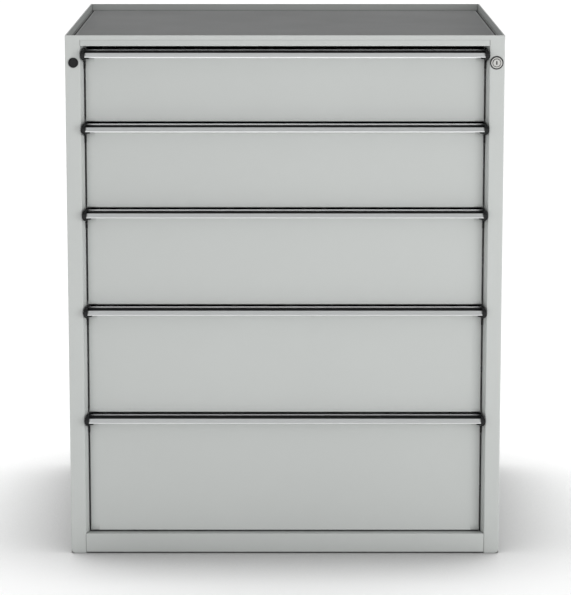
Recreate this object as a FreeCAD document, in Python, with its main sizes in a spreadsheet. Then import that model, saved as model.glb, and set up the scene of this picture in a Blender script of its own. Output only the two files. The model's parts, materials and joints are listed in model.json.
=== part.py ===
import FreeCAD, Part
import Sketcher
import os

# Steel drawer cabinet with five full-extension drawers of rising height.
# Origin: middle of the footprint on the floor. +Z up, drawers open towards -Y.
doc = FreeCAD.newDocument("DrawerCabinet")
dims = doc.addObject("Spreadsheet::Sheet", "dims")

cells = {
    # housing
    "width": 880,            # outside, over the side panels
    "height": 1070,          # floor to the rim of the top tray
    "depth": 750,            # face of the front posts to the back panel
    "grip_proud": 10,        # how far the handles stand in front of the posts
    "steel": 1.5,            # sheet thickness
    "bend": 2,               # outside radius of a fold
    "post_face": 30,         # width of a front post
    "reveal": 6,             # sideways run of the slanted reveal beside the drawers
    "setback": 18,           # drawer fronts lie this far behind the post faces
    "post_return": 22,       # flange behind the reveal
    "post_lip": 20,          # last fold of the post
    "corner": 10,            # rounding of the post's foot
    "back_flange": 25,       # side panel's fold at the back
    "rail_low": 2.7,         # bottom rail, lower edge
    "rail_high": 41.7,       # bottom rail, upper edge
    "rail_deep": 25,         # depth of the rails' folds
    "header_low": 1048.4,    # lower edge of the rail over the drawers
    "skirt": 9.5,            # outer leg of the tray's rim
    "rim": 16,               # tray rim above the tray's floor
    "mat_thick": 2,
    "mat_inset": 3,          # bare strip between mat and rim
    "upright_wide": 40,      # uprights that carry the runners, front to back
    # stack of drawers
    "stack_low": 44.6,       # lower edge of the lowest drawer front
    "module_1": 150,
    "module_2": 175,
    "module_3": 200,
    "module_4": 225,
    "module_5": 250,
    "front_gap": 4.3,        # between one drawer front and the handle under it
    "front_top": 12,         # fold of a front, behind the handle's web
    "side_gap": 3.5,         # between drawer front and reveal
    "front_deep": 13,        # folded edge of a drawer front
    "kick": 1.2,             # lower edge of a front leans out by this much
    "kick_high": 6,
    # handle extrusion
    "web": 2,
    "web_low": 22,
    "arm_high": 11,          # top of the handle's arm under the drawer's module line
    "arm_thick": 2,
    "lip_start": 21,         # crest of the lip in front of the drawer front
    "lip_high": 9.6,
    "nose": 28,              # nose of the lip in front of the drawer front
    "nose_high": 17.4,
    "strip_thick": 1.2,
    "strip_up": 7.3,         # upper edge of the inlay's leg under the drawer's module line
    "strip_play": 0.2,       # between the inlay and the web
    # end caps of the handle
    "cap_plate": 1.8,        # thickness of the plate
    "cap_bulge": 13.7,       # radius of the round in front
    "cap_middle": 14,        # its axis under the drawer's module line
    "cap_sink": 4.6,         # and beside the end of the front
    "cap_top": 1.5,
    "cap_flat": 14,          # the top is level this far forward
    "cap_brow": 23,
    "cap_brow_low": 5,
    "cap_chin": 11,          # the plate's front edge, upper end
    "cap_jaw": 18.5,         # and lower end
    "cap_under": 22,
    "cap_under_low": 24.5,
    "cap_neck": 8,
    "cap_neck_low": 27.5,
    "cap_strip": 2.5,        # the tail stands this far in front of the drawer front
    "cap_strip_low": 31,
    "cap_tail": 43,
    # drawer pan
    "pan_half": 383,
    "pan_back": 352,
    "pan_floor": 8,          # underside of the pan over the lower edge of the front
    "pan_top": 24,           # rim of the pan under the module line
    "hem": 5,
    "catch_reach": 17,       # lug on the pan that the lock bar holds
    "catch_tall": 8,
    "catch_thick": 3,
    "catch_play": 5.5,       # between the lock bar and the lug
    # runners
    "slide_mid": 53,         # middle of the runner over the lower edge of the front
    "roller": 10,            # roller radius
    "race": 0.4,             # play between roller and race
    "runner_front": -325,
    "runner_back": 350,
    "strip_half": 20,
    "strip_plate": 2,        # thickness of the carriage's strip
    "cabinet_race": 7.5,     # inside depth of the rail on the upright
    "drawer_race": 6.5,      # inside depth of the rail on the drawer
    "race_step": 1,          # each track lies this much beyond a roller off the middle
    "roller_wide": 5.5,
    "pin_radius": 3,
    "pin_long": 7,
    "buffer_tall": 14,
    "buffer_from": 330.5,
    "buffer_to": 342,
    # lock
    "lock_across": 423.6,
    "lock_up": 1015,
    "lock_throw": 8.5,       # cam pin off the lock's axis
    "lock_hole": 9.6,
    "barrel_radius": 9.5,
    "barrel_long": 28,
    "flange_radius": 11.5,
    "flange_proud": 2.5,
    "bore_radius": 7.95,
    "core_radius": 7.6,
    "core_proud": 3.5,       # in front of the post face
    "core_tail": 28.5,       # behind the post face
    "key_wide": 1.6,
    "key_tall": 7,
    "key_deep": 6,
    "nut_radius": 12.7,      # over the corners
    "nut_thick": 5,
    "cam_radius": 11.5,
    "cam_thick": 2,
    "cam_pin": 2.5,
    "cam_pin_long": 8,
    "bar_near": -337.5,      # front face of the lock bar
    "bar_thick": 2,
    "bar_inner": 7,          # beside the drawer opening
    "bar_outer": 17,
    "bar_over": 17,          # upper end over the lock's axis
    "bar_foot": 30,          # lower end over the bottom rail
    "slot_half": 3.1,        # slot for the cam's pin
    "guide_up": 140,         # over the lower edge of a drawer front
    "guide_tall": 18,
    "guide_wall": 1.4,
    "guide_play": 2,
    "hook_low": 80,          # foot of a hook over the lower edge of its drawer front
    "hook_tall": 12,
    "plug_up": 1015,
    "plug_hole": 8,
    "plug_radius": 10,
    "plug_proud": 2,
    "plug_stem": 7.8,
    "plug_deep": 9,
}
for row, (alias, value) in enumerate(cells.items(), start=1):
    dims.set("A%d" % row, alias)
    dims.set("B%d" % row, str(value))
    dims.setAlias("B%d" % row, alias)
doc.recompute()

# Places used by many parts, as expressions on the sheet.
halfWidth = "(dims.width / 2)"
faceEdge = "(dims.width / 2 - dims.post_face)"
opening = "(dims.width / 2 - dims.post_face - dims.reveal)"
frontHalf = "(dims.width / 2 - dims.post_face - dims.reveal - dims.side_gap)"
frontY = "((dims.grip_proud - dims.depth) / 2)"
backY = "((dims.grip_proud + dims.depth) / 2)"
drawerY = "((dims.grip_proud - dims.depth) / 2 + dims.setback)"
returnY = "((dims.grip_proud - dims.depth) / 2 + dims.setback + dims.post_return)"
panelTop = "(dims.height - dims.skirt)"
trayFloor = "(dims.height - dims.rim)"
runnerOut = "(dims.pan_half + 19)"
drawerNumbers = (1, 2, 3, 4, 5)


def minus(expression):
    return "-(%s)" % expression


def value(expression):
    return float(dims.evalExpression(expression))


def moduleLow(number):
    """Lower edge of a drawer's front; drawer 5 is the lowest."""
    below = ["dims.module_%d" % n for n in drawerNumbers if n > number]
    return "(" + " + ".join(["dims.stack_low"] + below) + ")"


def moduleHigh(number):
    return "(%s + dims.module_%d)" % (moduleLow(number), number)


def newBody(name):
    return doc.addObject("PartDesign::Body", name)


def newSketch(body, role, name, offset="0"):
    """Sketch on one of the body's own planes. XZ_Plane looks along +Y, so its offset is -y."""
    plane = [item for item in body.Origin.OriginFeatures if item.Role == role][0]
    sketch = body.newObject("Sketcher::SketchObject", name)
    sketch.AttachmentSupport = [(plane, "")]
    sketch.MapMode = "FlatFace"
    sketch.setExpression("AttachmentOffset.Base.z", offset)
    return sketch


def polygon(sketch, points):
    """Closed outline; each point is a pair of expressions, measured from the sketch's origin."""
    spots = [FreeCAD.Vector(value(a), value(b), 0) for a, b in points]
    first = sketch.GeometryCount
    count = len(points)
    for index, spot in enumerate(spots):
        sketch.addGeometry(Part.LineSegment(spot, spots[(index + 1) % count]))
    for index in range(count):
        following = first + (index + 1) % count
        sketch.addConstraint(Sketcher.Constraint("Coincident", first + index, 2, following, 1))
    for index, (a, b) in enumerate(points):
        for kind, size, expression in (("DistanceX", spots[index].x, a), ("DistanceY", spots[index].y, b)):
            made = sketch.addConstraint(Sketcher.Constraint(kind, -1, 1, first + index, 1, size))
            sketch.setExpression("Constraints[%d]" % made, expression)


def rectangle(sketch, left, right, low, high):
    polygon(sketch, [(left, low), (right, low), (right, high), (left, high)])


def circle(sketch, across, up, radius):
    centre = FreeCAD.Vector(value(across), value(up), 0)
    index = sketch.addGeometry(Part.Circle(centre, FreeCAD.Vector(0, 0, 1), value(radius)))
    for kind, size, expression in (("DistanceX", centre.x, across), ("DistanceY", centre.y, up)):
        made = sketch.addConstraint(Sketcher.Constraint(kind, -1, 1, index, 3, size))
        sketch.setExpression("Constraints[%d]" % made, expression)
    made = sketch.addConstraint(Sketcher.Constraint("Radius", index, value(radius)))
    sketch.setExpression("Constraints[%d]" % made, radius)


def pad(body, sketch, length, backwards=False, both=False):
    feature = body.newObject("PartDesign::Pad", sketch.Name + "_pad")
    feature.Profile = sketch
    feature.Reversed = backwards
    feature.Midplane = both
    feature.setExpression("Length", length)
    return feature


def pocket(body, sketch, length, backwards=False):
    feature = body.newObject("PartDesign::Pocket", sketch.Name + "_cut")
    feature.Profile = sketch
    feature.Reversed = backwards
    feature.setExpression("Length", length)
    doc.recompute()
    if feature.Shape.Volume >= feature.BaseFeature.Shape.Volume - 0.01:
        raise RuntimeError("%s cuts nothing" % feature.Name)
    return feature


def roundEdges(body, feature, radius, chosen):
    """Fillet the edges of a feature for which chosen(edge) is true."""
    doc.recompute()
    names = ["Edge%d" % (n + 1) for n, edge in enumerate(feature.Shape.Edges) if chosen(edge)]
    if not names:
        raise RuntimeError("no edge to round on %s" % feature.Name)
    fillet = body.newObject("PartDesign::Fillet", feature.Name + "_round")
    fillet.Base = (feature, names)
    fillet.setExpression("Radius", radius)
    return fillet


def runsAlong(edge, direction, spots):
    """True for a straight edge in this direction that passes one of the spots (the other two axes)."""
    if edge.Curve.TypeId != "Part::GeomLine":
        return False
    ends = [vertex.Point for vertex in edge.Vertexes]
    others = [axis for axis in "xyz" if axis != direction]
    for axis in others:
        if abs(getattr(ends[0], axis) - getattr(ends[1], axis)) > 0.01:
            return False
    here = [getattr(ends[0], axis) for axis in others]
    return any(abs(here[0] - a) < 0.01 and abs(here[1] - b) < 0.01 for a, b in spots)


def frontRound(place):
    """Chooses the edges that lie wholly in the upright plane at this Y place."""
    level = value(place)
    return lambda edge: abs(edge.BoundBox.YMin - level) < 0.01 and edge.BoundBox.YLength < 0.01


def box(name, low, high):
    """Part::Box between two corners given as triples of expressions."""
    solid = doc.addObject("Part::Box", name)
    for axis, size, start, end in zip("xyz", ("Length", "Width", "Height"), low, high):
        solid.setExpression(size, "(%s) - (%s)" % (end, start))
        solid.setExpression("Placement.Base." + axis, start)
    return solid


def cylinder(name, direction, radius, length, start):
    """Part::Cylinder from start along +X, +Y or +Z."""
    solid = doc.addObject("Part::Cylinder", name)
    turns = {"x": (0, 90, 0), "y": (0, 0, -90), "z": (0, 0, 0)}
    solid.Placement.Rotation = FreeCAD.Rotation(*turns[direction])
    solid.setExpression("Radius", radius)
    solid.setExpression("Height", length)
    for axis, place in zip("xyz", start):
        solid.setExpression("Placement.Base." + axis, place)
    return solid


def combine(kind, name, shapes):
    """kind is MultiFuse, MultiCommon or Compound."""
    made = doc.addObject("Part::" + kind, name)
    if kind == "Compound":
        made.Links = shapes
    else:
        made.Shapes = shapes
    return made


def cut(name, base, tool):
    made = doc.addObject("Part::Cut", name)
    made.Base = base
    made.Tool = tool
    return made


def mirrored(name, source):
    """The same piece on the other side of the cabinet."""
    made = doc.addObject("Part::Mirroring", name)
    made.Source = source
    made.Normal = FreeCAD.Vector(1, 0, 0)
    return made


nodes = []


def node(thing, label):
    thing.Label = label
    nodes.append(thing)
    return thing


def across(side, expression):
    """An X place on the left (-1) or the right (1) side of the cabinet."""
    return minus(expression) if side < 0 else expression


# Housing.

def sidePanel(side, label):
    """One folded sheet: back flange, side wall, post face, slanted reveal, return and lip."""
    slant = "sqrt(dims.reveal ^ 2 + dims.setback ^ 2)"
    faceMitre = "dims.steel * (%s - dims.reveal) / dims.setback" % slant
    revealMitre = "dims.steel * (%s - dims.setback) / dims.reveal" % slant
    outline = [
        (halfWidth + " - dims.back_flange", backY),
        (halfWidth, backY),
        (halfWidth, frontY),
        (faceEdge, frontY),
        (opening, drawerY),
        (opening, returnY),
        (opening + " + dims.post_lip", returnY),
        (opening + " + dims.post_lip", returnY + " - dims.steel"),
        (opening + " + dims.steel", returnY + " - dims.steel"),
        (opening + " + dims.steel", drawerY + " + " + revealMitre),
        (faceEdge + " + " + faceMitre, frontY + " + dims.steel"),
        (halfWidth + " - dims.steel", frontY + " + dims.steel"),
        (halfWidth + " - dims.steel", backY + " - dims.steel"),
        (halfWidth + " - dims.back_flange", backY + " - dims.steel"),
    ]
    body = newBody(label + "_sheet")
    sketch = newSketch(body, "XY_Plane", label + "_outline")
    polygon(sketch, [(across(side, a), b) for a, b in outline])
    sheet = pad(body, sketch, panelTop)
    folds = [(side * value(a), value(b)) for a, b in outline[1:5]]
    sheet = roundEdges(body, sheet, "dims.bend", lambda edge: runsAlong(edge, "z", folds))

    # room for the top tray inside the walls
    trayRoom = newSketch(body, "XY_Plane", label + "_tray_room", trayFloor + " - dims.steel - 0.5")
    rectangle(trayRoom, across(side, "dims.width / 2 - dims.steel"), across(side, "dims.width / 2 - 60"),
              frontY + " + dims.steel", backY + " - dims.steel")
    pocket(body, trayRoom, "dims.rim + dims.steel + 1", backwards=True)

    # hole in the post: lock on the right, blind plug on the left
    hole = newSketch(body, "XZ_Plane", label + "_post_hole", minus(frontY))
    radius = "dims.lock_hole" if side > 0 else "dims.plug_hole"
    circle(hole, across(side, "dims.lock_across"), "dims.lock_up", radius)
    pocket(body, hole, "dims.steel + 1")

    if side > 0:
        # slots in the return, through which the lock bar's hooks reach the drawers
        slots = newSketch(body, "YZ_Plane", label + "_hook_slots", opening + " - 1")
        for number in drawerNumbers:
            low = moduleLow(number) + " + dims.hook_low - 2"
            rectangle(slots, "dims.bar_near - 1.5", "dims.bar_near + dims.bar_thick + 1.5",
                      low, low + " + 2 * dims.hook_tall + 5")
        pocket(body, slots, "dims.steel + 2", backwards=True)

    # rounded foot of the post, once on its face and once on its side
    inside = across(side, halfWidth + " - dims.corner")
    outside = across(side, halfWidth + " + 1")
    low, high = (inside, outside) if side > 0 else (outside, inside)
    faceBlock = box(label + "_foot_a", (low, frontY + " - 1", "-1"),
                    (high, frontY + " + dims.steel", "dims.corner"))
    faceRound = cylinder(label + "_foot_b", "y", "dims.corner", "10",
                         (inside, frontY + " - 2", "dims.corner"))
    wall = across(side, halfWidth + " - dims.steel")
    low, high = (wall, outside) if side > 0 else (outside, wall)
    sideBlock = box(label + "_foot_c", (low, frontY + " - 1", "-1"),
                    (high, frontY + " + dims.corner", "dims.corner"))
    start = across(side, halfWidth + " - 5") if side > 0 else across(side, halfWidth + " + 5")
    sideRound = cylinder(label + "_foot_d", "x", "dims.corner", "10",
                         (start, frontY + " + dims.corner", "dims.corner"))
    faceTool = cut(label + "_foot_e", faceBlock, faceRound)
    sideTool = cut(label + "_foot_f", sideBlock, sideRound)
    tools = combine("MultiFuse", label + "_foot_g", [faceTool, sideTool])
    node(cut(label, body, tools), label)


def rail(label, low, high, foldHigh, foldLow):
    """Front rail between the posts: a face and one or two folds that follow the slanted reveals."""
    body = newBody(label)
    edge = faceEdge + " - dims.reveal * dims.steel / dims.setback"
    face = newSketch(body, "XZ_Plane", label + "_face", minus(frontY + " + dims.steel"))
    rectangle(face, minus(edge), edge, low, high)
    solid = pad(body, face, "dims.steel")
    folds = []
    if foldHigh:
        folds.append(high + " - dims.steel")
    if foldLow:
        folds.append(low)
    for index, place in enumerate(folds):
        fold = newSketch(body, "XY_Plane", "%s_fold_%d" % (label, index), place)
        deep = frontY + " + dims.rail_deep"
        polygon(fold, [
            (minus(edge), frontY + " + dims.steel"),
            (edge, frontY + " + dims.steel"),
            (opening, drawerY),
            (opening, deep),
            (minus(opening), deep),
            (minus(opening), drawerY),
        ])
        solid = pad(body, fold, "dims.steel")
    heights = [value(item) for item in ([high] if foldHigh else []) + ([low] if foldLow else [])]
    spots = [(value(frontY), height) for height in heights]
    roundEdges(body, solid, "dims.steel / 1.5", lambda edge: runsAlong(edge, "x", spots))
    node(body, label)


def deck(label, low):
    """Level sheet inside the housing, notched round the posts."""
    body = newBody(label)
    sketch = newSketch(body, "XY_Plane", label + "_outline", low)
    wide = halfWidth + " - dims.steel"
    narrow = opening
    near = frontY + " + dims.rail_deep"
    shoulder = returnY + " + 1"
    polygon(sketch, [
        (minus(narrow), near),
        (narrow, near),
        (narrow, shoulder),
        (wide, shoulder),
        (wide, backY + " - dims.steel"),
        (minus(wide), backY + " - dims.steel"),
        (minus(wide), shoulder),
        (minus(narrow), shoulder),
    ])
    pad(body, sketch, "dims.steel")
    node(body, label)


def uprights(side, label):
    """Front and rear U-shaped uprights on one side wall; the runners hang on them."""
    pair = []
    starts = {"front": "dims.runner_front", "rear": "dims.runner_back - dims.upright_wide"}
    for name, start in starts.items():
        body = newBody("%s_%s" % (label, name))
        sketch = newSketch(body, "XY_Plane", "%s_%s_outline" % (label, name), "dims.rail_high")
        inner = runnerOut
        outer = halfWidth + " - dims.steel"
        outline = [
            (outer, start),
            (inner, start),
            (inner, start + " + dims.upright_wide"),
            (outer, start + " + dims.upright_wide"),
            (outer, start + " + dims.upright_wide - dims.steel"),
            (inner + " + dims.steel", start + " + dims.upright_wide - dims.steel"),
            (inner + " + dims.steel", start + " + dims.steel"),
            (outer, start + " + dims.steel"),
        ]
        polygon(sketch, [(across(side, a), b) for a, b in outline])
        pad(body, sketch, "dims.header_low - dims.rail_high")
        pair.append(body)
    node(combine("Compound", label, pair), label)


def topTray():
    """Tray with a folded rim: outer leg flush with the housing, inner leg down to the floor."""
    body = newBody("top_tray")
    inner = newSketch(body, "XY_Plane", "tray_inner", trayFloor + " - dims.steel")
    wide = halfWidth + " - dims.steel"
    rectangle(inner, minus(wide), wide, frontY + " + dims.steel", backY + " - dims.steel")
    pad(body, inner, "dims.rim + dims.steel")
    outer = newSketch(body, "XY_Plane", "tray_skirt", panelTop)
    rectangle(outer, minus(halfWidth), halfWidth, frontY, backY)
    pad(body, outer, "dims.skirt")
    well = newSketch(body, "XY_Plane", "tray_well", "dims.height")
    clear = halfWidth + " - 2 * dims.steel"
    rectangle(well, minus(clear), clear, frontY + " + 2 * dims.steel", backY + " - 2 * dims.steel")
    hollow = pocket(body, well, "dims.rim")
    top = value("dims.height")
    front = value(frontY)
    back = value(backY)
    half = value(halfWidth)
    spots = [(front, top), (back, top)]
    sides = [(-half, top), (half, top)]
    roundEdges(body, hollow, "dims.steel / 1.5",
               lambda edge: runsAlong(edge, "x", spots) or runsAlong(edge, "y", sides))
    node(body, "top_tray")


def trayMat():
    body = newBody("tray_mat")
    sketch = newSketch(body, "XY_Plane", "mat_outline", trayFloor)
    wide = halfWidth + " - 2 * dims.steel - dims.mat_inset"
    inset = "2 * dims.steel + dims.mat_inset"
    rectangle(sketch, minus(wide), wide, "%s + %s" % (frontY, inset), "%s - (%s)" % (backY, inset))
    pad(body, sketch, "dims.mat_thick")
    node(body, "tray_mat")


def backPanel():
    body = newBody("back_panel")
    sketch = newSketch(body, "XZ_Plane", "back_outline", minus(backY))
    wide = halfWidth + " - dims.back_flange"
    rectangle(sketch, minus(wide), wide, "dims.rail_low", panelTop)
    pad(body, sketch, "dims.steel")
    node(body, "back_panel")


def postPlug():
    """Moulded blind plug in the left post, where a lock can be fitted instead."""
    body = newBody("post_plug")
    head = newSketch(body, "XZ_Plane", "plug_head", minus(frontY))
    circle(head, minus("dims.lock_across"), "dims.plug_up", "dims.plug_radius")
    solid = pad(body, head, "dims.plug_proud")
    solid = roundEdges(body, solid, "0.6 * dims.plug_proud", frontRound(frontY + " - dims.plug_proud"))
    stem = newSketch(body, "XZ_Plane", "plug_stem", minus(frontY + " + dims.plug_deep"))
    circle(stem, minus("dims.lock_across"), "dims.plug_up", "dims.plug_stem")
    pad(body, stem, "dims.plug_deep")
    node(body, "post_plug")


sidePanel(-1, "left_side_panel")
sidePanel(1, "right_side_panel")
rail("header_rail", "dims.header_low", panelTop, foldHigh=False, foldLow=True)
rail("bottom_rail", "dims.rail_low", "dims.rail_high", foldHigh=True, foldLow=True)
deck("base_panel", "dims.rail_high - 2 * dims.steel")
deck("top_panel", "dims.header_low + dims.steel")
backPanel()
uprights(-1, "left_uprights")
uprights(1, "right_uprights")
topTray()
trayMat()
postPlug()

# Lock.


def lockBarrel():
    """Threaded barrel in the right post, its flange in front of the post face, and its nut behind."""
    body = newBody("lock_barrel")
    shell = newSketch(body, "XZ_Plane", "barrel_shell", minus(frontY + " + dims.barrel_long"))
    circle(shell, "dims.lock_across", "dims.lock_up", "dims.barrel_radius")
    pad(body, shell, "dims.barrel_long")
    flange = newSketch(body, "XZ_Plane", "barrel_flange", minus(frontY))
    circle(flange, "dims.lock_across", "dims.lock_up", "dims.flange_radius")
    solid = pad(body, flange, "dims.flange_proud")
    roundEdges(body, solid, "0.4 * dims.flange_proud", frontRound(frontY + " - dims.flange_proud"))
    bore = newSketch(body, "XZ_Plane", "barrel_bore", minus(frontY + " - dims.flange_proud"))
    circle(bore, "dims.lock_across", "dims.lock_up", "dims.bore_radius")
    pocket(body, bore, "dims.flange_proud + dims.barrel_long + 0.5")
    node(body, "lock_barrel")

    prism = doc.addObject("Part::Prism", "nut_hexagon")
    prism.Polygon = 6
    flatsUpright = FreeCAD.Rotation(FreeCAD.Vector(0, 0, 1), 30)
    prism.Placement.Rotation = FreeCAD.Rotation(FreeCAD.Vector(1, 0, 0), -90) * flatsUpright
    prism.setExpression("Circumradius", "dims.nut_radius")
    prism.setExpression("Height", "dims.nut_thick")
    for axis, place in zip("xyz", ("dims.lock_across", frontY + " + dims.steel", "dims.lock_up")):
        prism.setExpression("Placement.Base." + axis, place)
    thread = cylinder("nut_thread", "y", "dims.barrel_radius", "dims.nut_thick + 2 * dims.steel",
                      ("dims.lock_across", frontY, "dims.lock_up"))
    node(cut("lock_nut", prism, thread), "lock_nut")


def lockCore():
    """Rotating plug with its keyway, and the cam on its tail."""
    body = newBody("lock_plug")
    core = newSketch(body, "XZ_Plane", "core_round", minus(frontY + " + dims.core_tail"))
    circle(core, "dims.lock_across", "dims.lock_up", "dims.core_radius")
    solid = pad(body, core, "dims.core_tail + dims.core_proud")
    roundEdges(body, solid, "0.6", frontRound(frontY + " - dims.core_proud"))
    keyway = newSketch(body, "XZ_Plane", "core_keyway", minus(frontY + " - dims.core_proud"))
    rectangle(keyway, "dims.lock_across - dims.key_wide / 2", "dims.lock_across + dims.key_wide / 2",
              "dims.lock_up - dims.key_tall / 2", "dims.lock_up + dims.key_tall / 2")
    pocket(body, keyway, "dims.key_deep")
    node(body, "lock_plug")

    plate = cylinder("cam_plate", "y", "dims.cam_radius", "dims.cam_thick",
                     ("dims.lock_across", frontY + " + dims.core_tail", "dims.lock_up"))
    pin = cylinder("cam_pin_round", "y", "dims.cam_pin", "dims.cam_pin_long",
                   ("dims.lock_across - " + pinOffset, frontY + " + dims.core_tail + 0.5",
                    "dims.lock_up - " + pinOffset))
    node(combine("MultiFuse", "lock_cam", [plate, pin]), "lock_cam")


def lockBar():
    """Bar behind the post's return, with a hook for each drawer and a slotted plate for the cam's pin."""
    body = newBody("lock_bar")
    far = minus("dims.bar_near + dims.bar_thick")
    strip = newSketch(body, "XZ_Plane", "bar_strip", far)
    rectangle(strip, opening + " + dims.bar_inner", opening + " + dims.bar_outer",
              "dims.rail_high + dims.bar_foot", "dims.lock_up + dims.bar_over")
    pad(body, strip, "dims.bar_thick")
    hooks = newSketch(body, "XZ_Plane", "bar_hooks", far)
    for number in drawerNumbers:
        low = moduleLow(number) + " + dims.hook_low"
        rectangle(hooks, opening + " - dims.bar_inner - 0.5", opening + " + dims.bar_inner + 0.5",
                  low, low + " + dims.hook_tall")
    pad(body, hooks, "dims.bar_thick")
    plate = newSketch(body, "XZ_Plane", "bar_plate", far)
    rectangle(plate, opening + " + dims.bar_outer - 1", "dims.lock_across + 4",
              "dims.lock_up - 16", "dims.lock_up + 4")
    pad(body, plate, "dims.bar_thick")
    slot = newSketch(body, "XZ_Plane", "bar_slot", minus("dims.bar_near"))
    middle = "dims.lock_up - " + pinOffset
    rectangle(slot, "dims.lock_across - 12", "dims.lock_across - 1", middle + " - dims.slot_half",
              middle + " + dims.slot_half")
    pocket(body, slot, "dims.bar_thick + 1")
    node(body, "lock_bar")


def barGuides():
    """Moulded saddles on the post's return that hold the bar and let it slide."""
    guides = []
    inner = opening + " + dims.bar_inner - 2"
    outer = opening + " + dims.bar_outer + 2"
    for number in drawerNumbers[1:]:
        body = newBody("bar_guide_%d" % number)
        level = moduleLow(number) + " + dims.guide_up"
        sketch = newSketch(body, "XY_Plane", "bar_guide_outline_%d" % number, level)
        near = "dims.bar_near - dims.guide_play"
        wall = returnY + " - dims.steel"
        polygon(sketch, [
            (inner, wall),
            (inner, near),
            (outer, near),
            (outer, wall),
            (outer + " - dims.guide_wall", wall),
            (outer + " - dims.guide_wall", near + " + dims.guide_wall"),
            (inner + " + dims.guide_wall", near + " + dims.guide_wall"),
            (inner + " + dims.guide_wall", wall),
        ])
        pad(body, sketch, "dims.guide_tall")
        guides.append(body)
    node(combine("Compound", "lock_bar_guides", guides), "lock_bar_guides")


pinOffset = "dims.lock_throw * sqrt(0.5)"
lockBarrel()
lockCore()
lockBar()
barGuides()

# Drawers.


def forward(distance):
    """Y place this far in front of the drawer fronts."""
    return "%s - (%s)" % (drawerY, distance)


def drawerFront(number):
    """Folded front: face with a lower edge that leans out, folds above and below, and closed ends."""
    name = "drawer_%d_front" % number
    low = moduleLow(number)
    high = moduleHigh(number) + " - dims.front_top"
    back = drawerY + " + dims.front_deep"
    skin = [
        (back, high),
        (drawerY, high),
        (drawerY, low + " + dims.kick_high"),
        (forward("dims.kick"), low + " + dims.steel"),
        (forward("dims.kick - 1"), low),
        (back, low),
    ]
    inside = [
        (back, low + " + dims.steel"),
        (drawerY + " + 0.8", low + " + dims.steel"),
        (drawerY + " + dims.steel", low + " + dims.kick_high"),
        (drawerY + " + dims.steel", high + " - dims.steel"),
        (back, high + " - dims.steel"),
    ]
    body = newBody(name)
    sheet = newSketch(body, "YZ_Plane", name + "_sheet")
    polygon(sheet, skin + inside)
    pad(body, sheet, "2 * " + frontHalf, both=True)
    for side in (-1, 1):
        start = frontHalf + " - dims.steel" if side > 0 else minus(frontHalf)
        end = newSketch(body, "YZ_Plane", "%s_end_%d" % (name, side + 1), start)
        polygon(end, skin)
        solid = pad(body, end, "dims.steel")
    near = value(drawerY)
    half = value(frontHalf)
    spots = [(near, value(high))]
    corners = [(-half, near), (half, near)]
    roundEdges(body, solid, "1.2", lambda edge: runsAlong(edge, "x", spots) or runsAlong(edge, "z", corners))
    node(body, name)


def drawerPan(number):
    """Open pan with hemmed side walls and the catch that the lock bar holds."""
    name = "drawer_%d_pan" % number
    low = moduleLow(number) + " + dims.pan_floor"
    high = moduleHigh(number) + " - dims.pan_top"
    near = drawerY + " + dims.front_deep"
    body = newBody(name)
    blank = newSketch(body, "XY_Plane", name + "_blank", low)
    rectangle(blank, minus("dims.pan_half"), "dims.pan_half", near, "dims.pan_back")
    pad(body, blank, "%s - (%s)" % (high, low))
    hem = newSketch(body, "XY_Plane", name + "_hem", high + " - dims.steel")
    rectangle(hem, minus("dims.pan_half + dims.hem"), "dims.pan_half + dims.hem", near, "dims.pan_back")
    pad(body, hem, "dims.steel")
    well = newSketch(body, "XY_Plane", name + "_well", high)
    wide = "dims.pan_half - dims.steel"
    rectangle(well, minus(wide), wide, near + " + dims.steel", "dims.pan_back - dims.steel")
    pocket(body, well, "%s - (%s) - dims.steel" % (high, low))
    catch = newSketch(body, "XZ_Plane", name + "_catch",
                      minus("dims.bar_near + dims.bar_thick + dims.catch_play"))
    lift = moduleLow(number) + " + dims.hook_low + dims.hook_tall + 2"
    rectangle(catch, "dims.pan_half - 1", "dims.pan_half + dims.catch_reach",
              lift, lift + " + dims.catch_tall")
    pad(body, catch, "dims.catch_thick")
    node(body, name)


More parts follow.
